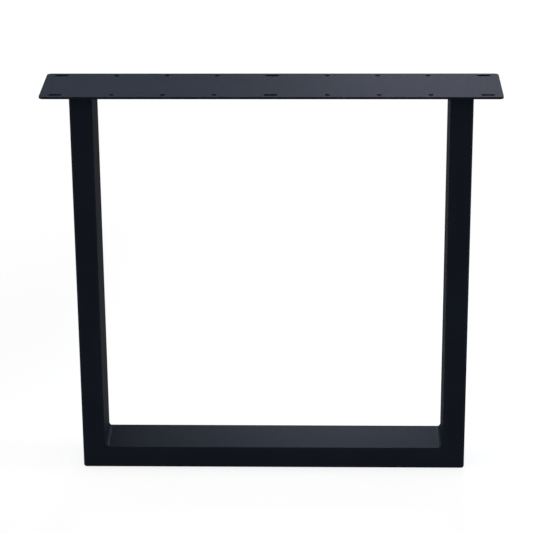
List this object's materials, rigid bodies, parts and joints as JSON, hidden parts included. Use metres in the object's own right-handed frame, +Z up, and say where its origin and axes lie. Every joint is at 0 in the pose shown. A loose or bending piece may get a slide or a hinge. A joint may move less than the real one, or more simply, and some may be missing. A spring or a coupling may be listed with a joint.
{
  "type": "u-shaped table leg",
  "caption": "Black U-shaped steel table leg: a mitred rectangular-tube frame welded under a flat mounting plate with screw holes and slots.",
  "frame": {"origin": "on the floor, midway between the uprights and midway front to back", "axes": "+X along the mounting plate, +Y to the back, +Z up to the tabletop"},
  "size_m": [0.8, 0.14, 0.72],
  "materials": {
    "black_powder_coat": "matte",
    "coated_weld": "matte"
  },
  "bodies": {
    "root": {"top_plate": "black_powder_coat", "left_upright": "black_powder_coat", "right_upright": "black_powder_coat", "bottom_rail": "black_powder_coat", "left_corner_weld": "coated_weld", "right_corner_weld": "coated_weld", "left_plate_weld": "coated_weld", "right_plate_weld": "coated_weld"}
  },
  "joints": []
}
